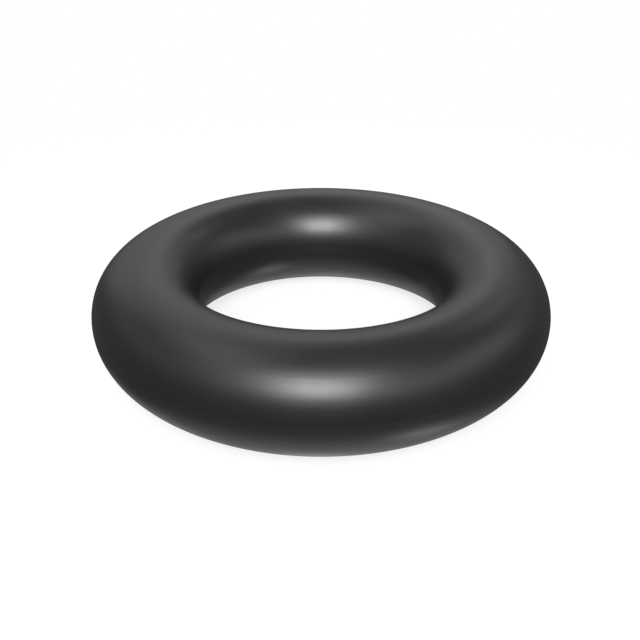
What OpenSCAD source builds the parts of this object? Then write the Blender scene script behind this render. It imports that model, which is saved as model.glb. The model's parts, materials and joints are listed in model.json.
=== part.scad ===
/* [Ring] */
// Inside diameter of the ring, free and unstretched
inner_d = 6.02; // [2.9:0.01:60]
// Diameter of the round rubber section
section_d = 2.62; // [1:0.01:7]

/* [Parting line] */
// Width of the band that trimming leaves round the inner waist
inner_land_w = 0.1; // [0.04:0.01:0.4]
// Width of the band that trimming leaves round the outer waist
outer_land_w = 0.1; // [0.04:0.01:0.4]

/* [Preview] */
// Facets round the rubber section
section_facets = 96; // [24:12:180]
// Facets round the ring
ring_facets = 180; // [36:12:360]
// Colour of the rubber
rubber_colour = "#1c1c1d"; // [#1c1c1d, #3a2a20, #7c2b1e, #2f4a36]

/* [Hidden] */
section_r = section_d / 2;
// Radius of the circle that the section's centre runs round
centre_r = inner_d / 2 + section_r;
// The mould's two halves meet in the plane z = 0. The flash that they leave at
// each waist is cut away with a sliver of the section, so a narrow cylindrical
// land stands there, at the distance where the section is as high as the land.
inner_reach = sqrt(section_r ^ 2 - (inner_land_w / 2) ^ 2);
outer_reach = sqrt(section_r ^ 2 - (outer_land_w / 2) ^ 2);

// The rubber as the mould leaves it: a circle about the section's own centre
module moulded_section() {
    circle(r = section_r, $fn = section_facets);
}

// The strip between the two trimming cuts, as high as the section
module trimmed_width() {
    translate([-inner_reach, -section_r])
        square([inner_reach + outer_reach, section_d]);
}

// Right half of the ring's section, at its distance from the axis
module ring_section() {
    translate([centre_r, 0])
        intersection() {
            moulded_section();
            trimmed_width();
        }
}

// The whole ring, centred on the origin with its axis along Z
module o_ring() {
    color(rubber_colour)
        rotate_extrude($fn = ring_facets)
            ring_section();
}

o_ring();
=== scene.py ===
"""A moulded rubber o-ring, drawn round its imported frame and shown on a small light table."""
import json
import math
from collections import namedtuple

import bpy
import numpy as np
from bpy.props import FloatProperty, FloatVectorProperty, IntProperty, PointerProperty
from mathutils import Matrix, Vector


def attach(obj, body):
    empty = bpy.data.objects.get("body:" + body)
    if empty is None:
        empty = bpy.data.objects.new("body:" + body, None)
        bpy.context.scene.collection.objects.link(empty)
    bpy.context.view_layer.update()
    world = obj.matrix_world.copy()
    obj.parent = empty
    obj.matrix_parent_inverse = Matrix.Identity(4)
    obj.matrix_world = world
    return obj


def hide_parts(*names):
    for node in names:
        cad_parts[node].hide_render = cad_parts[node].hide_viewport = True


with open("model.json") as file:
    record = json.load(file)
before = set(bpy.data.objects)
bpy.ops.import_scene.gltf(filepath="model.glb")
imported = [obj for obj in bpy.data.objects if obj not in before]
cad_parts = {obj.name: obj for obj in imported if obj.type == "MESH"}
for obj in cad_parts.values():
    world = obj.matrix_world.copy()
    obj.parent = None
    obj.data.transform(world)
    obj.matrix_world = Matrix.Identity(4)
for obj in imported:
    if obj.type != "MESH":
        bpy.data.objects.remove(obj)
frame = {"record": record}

bl_info = {
    "name": "Rubber O-Ring",
    "version": (1, 0, 0),
    "blender": (4, 5, 0),
    "location": "View3D > Sidebar > O-Ring",
    "description": "Draws a moulded rubber o-ring with its trimmed parting line, on a light table",
    "category": "Add Mesh",
}

MM = 0.001
MICRON = 0.000001
FULL_TURN = 2 * math.pi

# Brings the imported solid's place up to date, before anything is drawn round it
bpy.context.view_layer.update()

# The frame's mounts give the radius and the height of the land at each waist. The two lands' reaches
# from the section's centre add up to the wall between the mounts. Both lands end on the section's
# circle, so the squares of their reaches differ as the squares of their half widths do.
MOUNT = {mount["name"]: mount["dims"] for mount in frame["record"]["mounts"]}
INSIDE_R = MOUNT["inside"]["r_mm"] * MM
OUTSIDE_R = MOUNT["outside"]["r_mm"] * MM
INNER_LAND = MOUNT["inside"]["length_mm"] * MM
OUTER_LAND = MOUNT["outside"]["length_mm"] * MM
WALL = OUTSIDE_R - INSIDE_R
OUTER_REACH = (WALL + (INNER_LAND ** 2 - OUTER_LAND ** 2) / (4 * WALL)) / 2
SECTION_D = 2 * math.hypot(OUTER_REACH, OUTER_LAND / 2)
MIDDLE_D = 2 * (OUTSIDE_R - OUTER_REACH)

# The finish that the record gives the ring
RUBBER = frame["record"]["materials"][0]

# Names that the mesh and its material share
RING_UV = "round_and_over"
LAND_MASK = "trimmed_land"

# Mesh steps over the width of each land
LAND_STEPS = 2

# Roughness that a cloud of bloom and the top of the grain add to the skin, and how many times deeper
# the grain is on the trimmed lands
BLOOM_LIFT = 0.03
GRAIN_LIFT = 0.06
LAND_PITTING = 4

# Levels of its noise between which clean rubber turns into a cloud of bloom
BLOOM_EDGE = (0.4, 0.7)

# Refractive index that the shader starts from, and the level at which it mirrors as that index does
PLAIN_IOR = 1.5
PLAIN_LEVEL = 0.5

# Finer layers of noise on top of the first, in the bloom, in the grain and in the turning marks
BLOOM_DETAIL = 4
GRAIN_DETAIL = 2
MARK_DETAIL = 2

# Distances from the ring's centre, in ring radii, between which the lit sheet turns plain white
WHITE_REACH = (1.5, 4)

# Nearest that the camera sees, and the furthest, in widths of the table
NEAR_LIMIT = 1 * MM
FAR_LIMIT = 4

# Spacing of the nodes' columns and rows in the node editor
NODE_STEP = (220, -260)

# A lamp as the ring sees it: heading in degrees, 0 behind the ring and 90 to its right, angle above
# the table in degrees, width and height in degrees, and radiance
Lamp = namedtuple("Lamp", "heading rise wide high radiance")
LAMPS = {
    # In front, for the broad highlights on the near side and inside the far side
    "key_softbox": Lamp(185, 45, 40, 40, 3.5),
    "key_bulb": Lamp(180, 40, 20, 25, 13.2),
    # To the right and behind, for the bands along the right shoulder and the far side
    "right_panel": Lamp(110, 30, 70, 25, 0.7),
    "right_back_card": Lamp(40, 40, 15, 10, 1.25),
    "back_panel": Lamp(-10, 25, 65, 50, 0.28),
    # Overhead, for the band along the left shoulder
    "overhead_panel": Lamp(-65, 60, 120, 25, 0.68),
    "overhead_card": Lamp(-85, 65, 35, 20, 0.6),
    # Under the table, for the streaks low on the near side and low inside the far side
    "under_right": Lamp(105, -60, 20, 10, 2.2),
    "under_back": Lamp(-10, -50, 55, 25, 0.27),
    "under_slot": Lamp(-2, -65, 8, 15, 0.75),
}

# Radiance of the room by the angle above the table in degrees: bright straight below, where the
# table is lit from underneath, dim at the level of the table, and with a low bank of light all round
ROOM = {-90: 0.75, -60: 0.45, -40: 0.1, -20: 0.11, 5: 0.11, 25: 0.37, 45: 0.07, 90: 0.16}


class RingSizes(bpy.types.PropertyGroup):
    """Sizes of the ring, free and unstretched"""

    middle_d: FloatProperty(
        name="Middle diameter",
        description="Diameter of the circle that the centre of the section runs round",
        default=MIDDLE_D, min=1 * MM, soft_max=70 * MM, precision=5, unit="LENGTH",
    )
    section_d: FloatProperty(
        name="Section diameter",
        description="Diameter of the round rubber section",
        default=SECTION_D, min=0.5 * MM, soft_max=7 * MM, precision=5, unit="LENGTH",
    )
    inner_land: FloatProperty(
        name="Inner land",
        description="Width of the band that trimming leaves round the inner waist",
        default=INNER_LAND, min=0.01 * MM, soft_max=0.4 * MM, precision=5, unit="LENGTH",
    )
    outer_land: FloatProperty(
        name="Outer land",
        description="Width of the band that trimming leaves round the outer waist",
        default=OUTER_LAND, min=0.01 * MM, soft_max=0.4 * MM, precision=5, unit="LENGTH",
    )
    steps_round: IntProperty(
        name="Steps round",
        description="Mesh steps round the ring's axis",
        default=320, min=48, max=480,
    )
    steps_over: IntProperty(
        name="Steps over",
        description="Mesh steps over each half of the section, from one land to the other",
        default=78, min=12, max=120,
    )


class RubberLook(bpy.types.PropertyGroup):
    """Colour, shine and fine texture of the rubber"""

    colour: FloatVectorProperty(
        name="Rubber",
        description="Colour of the clean rubber",
        default=RUBBER["base_color"][:3], min=0, max=1, size=3, subtype="COLOR",
    )
    bloom_colour: FloatVectorProperty(
        name="Bloom",
        description="Colour where a trace of wax has come to the surface",
        default=(0.0135, 0.0135, 0.0138), min=0, max=1, size=3, subtype="COLOR",
    )
    bloom_size: FloatProperty(
        name="Bloom size",
        description="Size of the clouds of bloom",
        default=1.8 * MM, min=0.1 * MM, precision=5, unit="LENGTH",
    )
    roughness: FloatProperty(
        name="Roughness",
        description="Roughness of the clean skin at the bottom of its grain",
        default=0.32, min=0, max=1, subtype="FACTOR",
    )
    land_roughness: FloatProperty(
        name="Land roughness",
        description="How much rougher the trimmed lands are than the moulded skin",
        default=0.05, min=0, max=1, subtype="FACTOR",
    )
    ior: FloatProperty(
        name="Refractive index",
        description="Refractive index of the rubber, which sets how much light its skin mirrors",
        default=1.6, min=1, max=2.5,
    )
    grain_size: FloatProperty(
        name="Grain size",
        description="Size of the pits that the mould leaves in the skin",
        default=45 * MICRON, min=5 * MICRON, precision=6, unit="LENGTH",
    )
    grain_depth: FloatProperty(
        name="Grain depth",
        description="Depth of those pits",
        default=1.2 * MICRON, min=0, precision=8, unit="LENGTH",
    )
    mark_spacing: FloatProperty(
        name="Turning mark spacing",
        description="Spacing of the faint circles that the turned mould leaves round the ring",
        default=70 * MICRON, min=5 * MICRON, precision=6, unit="LENGTH",
    )
    mark_depth: FloatProperty(
        name="Turning mark depth",
        description="Depth of those circles",
        default=1 * MICRON, min=0, precision=8, unit="LENGTH",
    )


class TableSizes(bpy.types.PropertyGroup):
    """The light table, its lamps and the camera"""

    table_w: FloatProperty(
        name="Table width",
        description="Width of the sheet that the ring lies on",
        default=0.6, min=0.05, soft_max=2, unit="LENGTH",
    )
    lamp_reach: FloatProperty(
        name="Lamp distance",
        description="Distance of each lamp from the ring's centre",
        default=0.4, min=0.05, soft_max=2, unit="LENGTH",
    )
    sheet_tone: FloatProperty(
        name="Sheet tone",
        description="Tone of the sheet's surface, which takes the ring's shadow",
        default=0.25, min=0, max=1, subtype="FACTOR",
    )
    sheet_glow: FloatProperty(
        name="Sheet glow",
        description="Light that comes up through the sheet, where 1 is white",
        default=0.78, min=0, max=1, subtype="FACTOR",
    )
    lamp_level: FloatProperty(
        name="Light level",
        description="Share of the full light that the lamps and the room give",
        default=1, min=0, soft_max=2,
    )
    lens: FloatProperty(
        name="Lens",
        description="Focal length of the camera, on a sensor 36 mm wide",
        default=47.36, min=10, max=300, unit="CAMERA",
    )
    camera_reach: FloatProperty(
        name="Camera distance",
        description="Distance of the camera from the ring's centre",
        default=21.26 * MM, min=8 * MM, soft_max=200 * MM, precision=5, unit="LENGTH",
    )
    camera_rise: FloatProperty(
        name="Camera height",
        description="Angle of the camera above the table, from the ring's centre",
        default=math.radians(26.97), min=0, max=math.radians(89), subtype="ANGLE", unit="ROTATION",
    )
    camera_dip: FloatProperty(
        name="Camera dip",
        description="Angle that the camera looks down by",
        default=math.radians(28.447), min=0, max=math.radians(90), subtype="ANGLE", unit="ROTATION",
    )
    camera_turn: FloatProperty(
        name="Camera turn",
        description="Angle that the camera is turned to its left",
        default=math.radians(0.08), subtype="ANGLE", unit="ROTATION",
    )


def section_angles(sizes):
    """Angles of the section's points about its own centre, and the first step of each stretch.

    The angle runs anticlockwise from the outer land's lower edge through four stretches: the outer
    land, the upper arc, the inner land and the lower arc. A land of width w on a section of diameter
    d ends at an angle of arcsin(w / d) to either side of its waist."""
    outer = math.asin(sizes.outer_land / sizes.section_d)
    inner = math.asin(sizes.inner_land / sizes.section_d)
    edges = (-outer, outer, math.pi - inner, math.pi + inner, FULL_TURN - outer)
    steps = (LAND_STEPS, sizes.steps_over, LAND_STEPS, sizes.steps_over)
    stretches = [
        np.linspace(start, end, count, endpoint=False)
        for start, end, count in zip(edges, edges[1:], steps)
    ]
    return np.concatenate(stretches), np.cumsum((0,) + steps[:-1])


def section_outline(angles, creases, radius):
    """Points (x, z) of the section for those angles: (radius cos a, radius sin a), with x held between
    its values at the lands' edges, so that each land is a straight line across the circle."""
    edge_x = radius * np.cos(angles[creases])
    x = np.clip(radius * np.cos(angles), edge_x.min(), edge_x.max())
    return np.stack([x, radius * np.sin(angles)], axis=-1)


def revolved(outline, middle_r, steps):
    """Grid [u, a] of the points ((middle_r + x) cos u, (middle_r + x) sin u, z) for the outline's
    points (x, z) and for equal steps of the angle u round the axis."""
    turn = np.linspace(0, FULL_TURN, steps, endpoint=False)[:, None]
    reach = middle_r + outline[:, 0]
    z = np.broadcast_to(outline[:, 1], (steps, len(outline)))
    return np.stack([reach * np.cos(turn), reach * np.sin(turn), z], axis=-1)


def closed_grid(rows, columns):
    """Faces of a grid [row, column] that closes on itself both ways. Each face runs from its own
    corner one row on, one column on and one row back, which faces outward on the ring. The second
    array holds each face's row and column."""
    row, column = np.divmod(np.arange(rows * columns), columns)
    next_row, next_column = (row + 1) % rows, (column + 1) % columns
    corners = (
        row * columns + column,
        next_row * columns + column,
        next_row * columns + next_column,
        row * columns + next_column,
    )
    return np.stack(corners, axis=-1), np.stack([row, column], axis=-1)


def ring_mesh(sizes):
    """Mesh of the ring: its section's outline carried round the axis, with creases at the lands."""
    angles, creases = section_angles(sizes)
    rows, columns = sizes.steps_round, len(angles)
    outline = section_outline(angles, creases, sizes.section_d / 2)
    points = revolved(outline, sizes.middle_d / 2, rows)
    faces, cells = closed_grid(rows, columns)

    mesh = bpy.data.meshes.new("moulded_o_ring")
    mesh.from_pydata(points.reshape(-1, 3), [], faces)
    mesh.shade_smooth()
    write_ring_map(mesh, angles, cells, rows)
    write_land_mask(mesh, creases, cells)
    crease_lands(mesh, creases, columns)
    mesh.validate()
    return mesh


def write_ring_map(mesh, angles, cells, rows):
    """UV map with the share of the turn round the ring, and the share of the turn over the section
    from the outer land's lower edge. The last faces of each turn end at 1, so the map has no fold."""
    over = np.append(angles - angles[0], FULL_TURN) / FULL_TURN
    corner_rows = cells[:, :1] + np.array([0, 1, 1, 0])
    corner_columns = cells[:, 1:] + np.array([0, 0, 1, 1])
    uv = np.stack([corner_rows / rows, over[corner_columns]], axis=-1)
    mesh.uv_layers.new(name=RING_UV).uv.foreach_set("vector", uv.astype(np.float32).ravel())


def write_land_mask(mesh, creases, cells):
    """Face attribute that is 1 on the two lands and 0 on the moulded skin."""
    outer, upper_arc, inner, lower_arc = creases
    column = cells[:, 1]
    on_land = (column < upper_arc) | ((column >= inner) & (column < lower_arc))
    mask = mesh.attributes.new(LAND_MASK, "FLOAT", "FACE")
    mask.data.foreach_set("value", on_land.astype(np.float32))


def crease_lands(mesh, creases, columns):
    """Marks as sharp the edges that run round the ring along the four edges of the lands."""
    ends = np.empty(2 * len(mesh.edges), dtype=np.int32)
    mesh.edges.foreach_get("vertices", ends)
    column = ends.reshape(-1, 2) % columns
    sharp = (column[:, 0] == column[:, 1]) & np.isin(column[:, 0], creases)
    mesh.edges.foreach_set("use_edge_sharp", sharp)


def add_node(tree, kind, place, inputs=(), **settings):
    """New node at a (column, row) of the tree's layout, with its input sockets and settings set."""
    node = tree.nodes.new(kind)
    node.location = (NODE_STEP[0] * place[0], NODE_STEP[1] * place[1])
    for name, value in settings.items():
        setattr(node, name, value)
    for name, value in dict(inputs).items():
        node.inputs[name].default_value = value
    return node


def new_tree(owner):
    """Empty node tree of a material or a world."""
    owner.use_nodes = True
    owner.node_tree.nodes.clear()
    return owner.node_tree


def grey(tone):
    """Colour of that tone, where 1 is white, with its alpha."""
    return (tone, tone, tone, 1)


def add_math(tree, operation, place, first, second, third=0.0):
    """Math node on two or three values, each a number or another node's output."""
    node = add_node(tree, "ShaderNodeMath", place, operation=operation)
    for socket, value in zip(node.inputs, (first, second, third)):
        if isinstance(value, bpy.types.NodeSocket):
            tree.links.new(value, socket)
        else:
            socket.default_value = value
    return node.outputs["Value"]


def add_noise(tree, place, vector, size, detail):
    """Noise with features of about that size, in metres, read at the given coordinates."""
    noise = add_node(tree, "ShaderNodeTexNoise", place, {"Scale": 1 / size, "Detail": detail})
    tree.links.new(vector, noise.inputs["Vector"])
    return noise.outputs["Fac"]


def add_step(tree, place, value, edge):
    """Smooth step from 0 to 1, between the two values of the edge."""
    step = add_node(
        tree, "ShaderNodeMapRange", place, {"From Min": edge[0], "From Max": edge[1]},
        interpolation_type="SMOOTHSTEP",
    )
    tree.links.new(value, step.inputs["Value"])
    return step.outputs["Result"]


def add_bloom(tree, coordinates, look):
    """Mask of the faint clouds of wax on the skin, from 0 on clean rubber to 1 in a cloud."""
    clouds = add_noise(tree, (-5, 0), coordinates, look.bloom_size, BLOOM_DETAIL)
    return add_step(tree, (-4, 0), clouds, BLOOM_EDGE)


def add_turning_marks(tree, section_d, look):
    """Height, from 0 to 1, of the circles that the turned mould leaves: noise along the section only."""
    uv = add_node(tree, "ShaderNodeUVMap", (-7, 3), uv_map=RING_UV)
    over = add_node(tree, "ShaderNodeSeparateXYZ", (-6, 3))
    marks = add_node(
        tree, "ShaderNodeTexNoise", (-5, 3),
        {"Scale": math.pi * section_d / look.mark_spacing, "Detail": MARK_DETAIL},
        noise_dimensions="1D",
    )
    tree.links.new(uv.outputs["UV"], over.inputs["Vector"])
    tree.links.new(over.outputs["Y"], marks.inputs["W"])
    return marks.outputs["Fac"]


def add_bump(tree, place, height, depth, under=None):
    """Normal bent by a height from 0 to 1 of that depth in metres, over another normal if given."""
    bump = add_node(tree, "ShaderNodeBump", place, {"Strength": 1, "Distance": depth})
    tree.links.new(height, bump.inputs["Height"])
    if under:
        tree.links.new(under, bump.inputs["Normal"])
    return bump.outputs["Normal"]


def mirrored_share(index):
    """Share of the light that a surface of refractive index n mirrors straight back: the square of
    (n - 1) / (n + 1)."""
    return ((index - 1) / (index + 1)) ** 2


def rubber_material(look, section_d):
    """Black rubber with a satin skin.

    Clouds of bloom lift its colour and roughness a little. Pits and turning marks from the mould
    break up its shine, and the trimmed lands are duller and more pitted than the skin."""
    material = bpy.data.materials.new("moulded_black_rubber")
    tree = new_tree(material)
    place = add_node(tree, "ShaderNodeTexCoord", (-7, 1)).outputs["Object"]
    land = add_node(
        tree, "ShaderNodeAttribute", (-5, 2), attribute_name=LAND_MASK, attribute_type="GEOMETRY",
    ).outputs["Fac"]
    bloom = add_bloom(tree, place, look)
    grain = add_noise(tree, (-5, 1), place, look.grain_size, GRAIN_DETAIL)

    colour = add_node(tree, "ShaderNodeMix", (-1, 0), data_type="RGBA")
    colour.inputs["A"].default_value = (*look.colour, 1)
    colour.inputs["B"].default_value = (*look.bloom_colour, 1)
    tree.links.new(bloom, colour.inputs["Factor"])

    clouded = add_math(tree, "MULTIPLY_ADD", (-3, 1), bloom, BLOOM_LIFT, look.roughness)
    grained = add_math(tree, "MULTIPLY_ADD", (-2, 1), grain, GRAIN_LIFT, clouded)
    roughness = add_math(tree, "MULTIPLY_ADD", (-1, 1), land, look.land_roughness, grained)

    marks = add_turning_marks(tree, section_d, look)
    pitting = add_math(tree, "MULTIPLY_ADD", (-3, 2), land, LAND_PITTING - 1, 1)
    pits = add_math(tree, "MULTIPLY", (-2, 2), grain, pitting)
    marked = add_bump(tree, (-2, 3), marks, look.mark_depth)
    normal = add_bump(tree, (-1, 2), pits, look.grain_depth, marked)

    # The index is given as a level over a plain one, because an exported material keeps the level
    level = PLAIN_LEVEL * mirrored_share(look.ior) / mirrored_share(PLAIN_IOR)
    skin = add_node(
        tree, "ShaderNodeBsdfPrincipled", (0, 0), {"IOR": PLAIN_IOR, "Specular IOR Level": level},
    )
    output = add_node(tree, "ShaderNodeOutputMaterial", (2, 0))
    tree.links.new(colour.outputs["Result"], skin.inputs["Base Color"])
    tree.links.new(roughness, skin.inputs["Roughness"])
    tree.links.new(normal, skin.inputs["Normal"])
    tree.links.new(skin.outputs["BSDF"], output.inputs["Surface"])
    return material


def add_white_share(tree, place):
    """Share that is 1 for a ray that has to see plain white and 0 for the others.

    Those are the rays from the camera, and the ones that have come through something clear or off
    something mirror-bright. Satin rubber isn't mirror-bright, so it shows the room and its lamps."""
    path = add_node(tree, "ShaderNodeLightPath", place)
    camera, mirror, through = (
        path.outputs[kind] for kind in ("Is Camera Ray", "Is Singular Ray", "Is Transmission Ray")
    )
    clear = add_math(tree, "MAXIMUM", (place[0] + 1, place[1] + 1), mirror, through)
    return add_math(tree, "MAXIMUM", (place[0] + 1, place[1]), camera, clear)


def sheet_material(sizes, ring_r):
    """The table's white sheet.

    Near the ring its tone is lit by the lamps over the glow from underneath, so that it is white but
    for the ring's soft shadow, and a few ring widths away it is plain white. The light from under
    the table passes it on its way to the ring, so it shows only to rays that have to see white, and
    only from above."""
    material = bpy.data.materials.new("light_table_sheet")
    tree = new_tree(material)
    place = add_node(tree, "ShaderNodeTexCoord", (-4, 0))
    reach = add_node(tree, "ShaderNodeVectorMath", (-3, 0), operation="LENGTH")
    beyond = add_step(tree, (-2, 0), reach.outputs["Value"], [ring_r * edge for edge in WHITE_REACH])
    lit = add_node(tree, "ShaderNodeBsdfDiffuse", (-2, 1), {"Color": grey(sizes.sheet_tone)})
    glow = add_node(tree, "ShaderNodeEmission", (-2, 2), {"Strength": sizes.sheet_glow})
    near = add_node(tree, "ShaderNodeAddShader", (-1, 1))
    white = add_node(tree, "ShaderNodeEmission", (-1, 2))
    sheet = add_node(tree, "ShaderNodeMixShader", (0, 1))
    side = add_node(tree, "ShaderNodeNewGeometry", (-3, 5))
    seen = add_white_share(tree, (-3, 3))
    shown = add_math(tree, "SUBTRACT", (-1, 3), seen, side.outputs["Backfacing"])
    clear = add_node(tree, "ShaderNodeBsdfTransparent", (0, 2))
    choice = add_node(tree, "ShaderNodeMixShader", (1, 1))
    output = add_node(tree, "ShaderNodeOutputMaterial", (2, 1))
    tree.links.new(place.outputs["Object"], reach.inputs[0])
    tree.links.new(lit.outputs["BSDF"], near.inputs[0])
    tree.links.new(glow.outputs["Emission"], near.inputs[1])
    tree.links.new(beyond, sheet.inputs["Fac"])
    tree.links.new(near.outputs["Shader"], sheet.inputs[1])
    tree.links.new(white.outputs["Emission"], sheet.inputs[2])
    tree.links.new(shown, choice.inputs["Fac"])
    tree.links.new(clear.outputs["BSDF"], choice.inputs[1])
    tree.links.new(sheet.outputs["Shader"], choice.inputs[2])
    tree.links.new(choice.outputs["Shader"], output.inputs["Surface"])
    return material


def sheet_mesh(width, height):
    """Square of that width at that height: the points (width s / 2, width t / 2, height) for s and t
    of -1 and 1."""
    s, t = np.meshgrid([-1, 1], [-1, 1], indexing="ij")
    points = np.stack([width * s / 2, width * t / 2, np.full(s.shape, height)], axis=-1)
    mesh = bpy.data.meshes.new("light_table")
    mesh.from_pydata(points.reshape(-1, 3), [], [(0, 2, 3, 1)])
    return mesh


def make_room(level):
    """World that lights the ring as ROOM says, by the angle above the table, and that shows white.

    A ray's height runs from -1 straight down to 1 straight up, so the light of an angle stands on the
    ramp at (1 + the angle's sine) / 2."""
    world = bpy.data.worlds.new("studio_room")
    tree = new_tree(world)
    place = add_node(tree, "ShaderNodeTexCoord", (-4, 0))
    rise = add_node(tree, "ShaderNodeSeparateXYZ", (-3, 0))
    share = add_node(tree, "ShaderNodeMapRange", (-2, 0), {"From Min": -1})
    ramp = add_node(tree, "ShaderNodeValToRGB", (-1, 0))
    stops = ramp.color_ramp.elements
    # A ramp always keeps one stop, which the first angle takes over
    stops.remove(stops[0])
    for number, (angle, radiance) in enumerate(ROOM.items()):
        position = (1 + math.sin(math.radians(angle))) / 2
        stop = stops.new(position) if number else stops[0]
        stop.position = position
        stop.color = grey(radiance)
    room = add_node(tree, "ShaderNodeBackground", (1, 0), {"Strength": level})
    white = add_node(tree, "ShaderNodeBackground", (1, 1), {"Color": grey(1)})
    seen = add_white_share(tree, (-1, 2))
    choice = add_node(tree, "ShaderNodeMixShader", (2, 0))
    output = add_node(tree, "ShaderNodeOutputWorld", (3, 0))
    tree.links.new(place.outputs["Generated"], rise.inputs["Vector"])
    tree.links.new(rise.outputs["Z"], share.inputs["Value"])
    tree.links.new(share.outputs["Result"], ramp.inputs["Fac"])
    tree.links.new(ramp.outputs["Color"], room.inputs["Color"])
    tree.links.new(seen, choice.inputs["Fac"])
    tree.links.new(room.outputs["Background"], choice.inputs[1])
    tree.links.new(white.outputs["Background"], choice.inputs[2])
    tree.links.new(choice.outputs["Shader"], output.inputs["Surface"])
    return world


def place_lamp(name, reach, level):
    """Area lamp that stands at its heading and angle, faces the ring and fills its width and height.

    A side that looks w wide from a distance r is 2 r tan(w / 2) long, and a flat lamp of area A
    and radiance L gives a power of pi A L."""
    plan = LAMPS[name]
    heading, rise, wide, high = (math.radians(angle) for angle in plan[:4])
    toward = Vector((
        math.cos(rise) * math.sin(heading),
        math.cos(rise) * math.cos(heading),
        math.sin(rise),
    ))
    light = bpy.data.lights.new(name, "AREA")
    light.shape = "RECTANGLE"
    light.size = 2 * reach * math.tan(wide / 2)
    light.size_y = 2 * reach * math.tan(high / 2)
    light.energy = math.pi * light.size * light.size_y * plan.radiance * level
    lamp = bpy.data.objects.new(name, light)
    lamp.location = reach * toward
    lamp.rotation_euler = toward.to_track_quat("Z", "Y").to_euler()
    lamp.visible_camera = False
    bpy.context.scene.collection.objects.link(lamp)


def place_camera(sizes):
    """Camera in front of the ring, at its distance and height angle, looking down by its dip."""
    view = bpy.data.cameras.new("camera")
    view.lens = sizes.lens
    view.clip_start = NEAR_LIMIT
    view.clip_end = FAR_LIMIT * sizes.table_w
    camera = bpy.data.objects.new("camera", view)
    across = sizes.camera_reach * math.cos(sizes.camera_rise)
    camera.location = (0, -across, sizes.camera_reach * math.sin(sizes.camera_rise))
    camera.rotation_euler = (math.pi / 2 - sizes.camera_dip, 0, sizes.camera_turn)
    bpy.context.scene.collection.objects.link(camera)
    bpy.context.scene.camera = camera


class ORING_OT_moulded_ring(bpy.types.Operator):
    """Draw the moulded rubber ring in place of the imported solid"""

    bl_idname = "oring.moulded_ring"
    bl_label = "Moulded Ring"

    def execute(self, context):
        sizes, look = context.scene.oring_sizes, context.scene.oring_look
        if sizes.section_d >= sizes.middle_d:
            raise ValueError("the section is as wide as the ring, so the ring has no hole")
        if max(sizes.inner_land, sizes.outer_land) >= sizes.section_d:
            raise ValueError("a land is as wide as the section that it is cut from")
        ring = bpy.data.objects.new("moulded_o_ring", ring_mesh(sizes))
        ring.data.materials.append(rubber_material(look, sizes.section_d))
        context.scene.collection.objects.link(ring)
        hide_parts("o_ring")
        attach(ring, "root")
        return {"FINISHED"}


class ORING_OT_light_table(bpy.types.Operator):
    """Set up the light table, its lamps and the camera round the ring"""

    bl_idname = "oring.light_table"
    bl_label = "Light Table"

    def execute(self, context):
        sizes, ring = context.scene.oring_table, context.scene.oring_sizes
        if sizes.camera_reach * math.sin(sizes.camera_rise) <= ring.section_d:
            raise ValueError("the camera is down among the rubber, so it can't see the ring")
        sheet = bpy.data.objects.new("light_table", sheet_mesh(sizes.table_w, -ring.section_d / 2))
        sheet.data.materials.append(sheet_material(sizes, (ring.middle_d + ring.section_d) / 2))
        context.scene.collection.objects.link(sheet)
        for name in LAMPS:
            place_lamp(name, sizes.lamp_reach, sizes.lamp_level)
        context.scene.world = make_room(sizes.lamp_level)
        context.scene.view_settings.view_transform = "Standard"
        place_camera(sizes)
        return {"FINISHED"}


class ORING_PT_panel(bpy.types.Panel):
    """Sizes and looks of the ring and its light table, with a button for each"""

    bl_idname = "ORING_PT_panel"
    bl_label = "Rubber O-Ring"
    bl_space_type = "VIEW_3D"
    bl_region_type = "UI"
    bl_category = "O-Ring"

    def draw(self, context):
        scene = context.scene
        for operator, groups in (
            (ORING_OT_moulded_ring, (scene.oring_sizes, scene.oring_look)),
            (ORING_OT_light_table, (scene.oring_table,)),
        ):
            box = self.layout.box()
            box.label(text=operator.bl_label)
            for group in groups:
                for name in group.__annotations__:
                    box.prop(group, name)
            box.operator(operator.bl_idname)


CLASSES = (
    RingSizes,
    RubberLook,
    TableSizes,
    ORING_OT_moulded_ring,
    ORING_OT_light_table,
    ORING_PT_panel,
)


def register():
    """Registers the classes and hangs the three groups of sizes on the scene."""
    for item in CLASSES:
        bpy.utils.register_class(item)
    bpy.types.Scene.oring_sizes = PointerProperty(type=RingSizes)
    bpy.types.Scene.oring_look = PointerProperty(type=RubberLook)
    bpy.types.Scene.oring_table = PointerProperty(type=TableSizes)


def unregister():
    """Takes the groups off the scene and the classes out again."""
    del bpy.types.Scene.oring_table
    del bpy.types.Scene.oring_look
    del bpy.types.Scene.oring_sizes
    for item in reversed(CLASSES):
        bpy.utils.unregister_class(item)


def main():
    """Draws the ring and its stage."""
    register()
    bpy.ops.oring.moulded_ring()
    bpy.ops.oring.light_table()


if __name__ == "__main__":
    main()
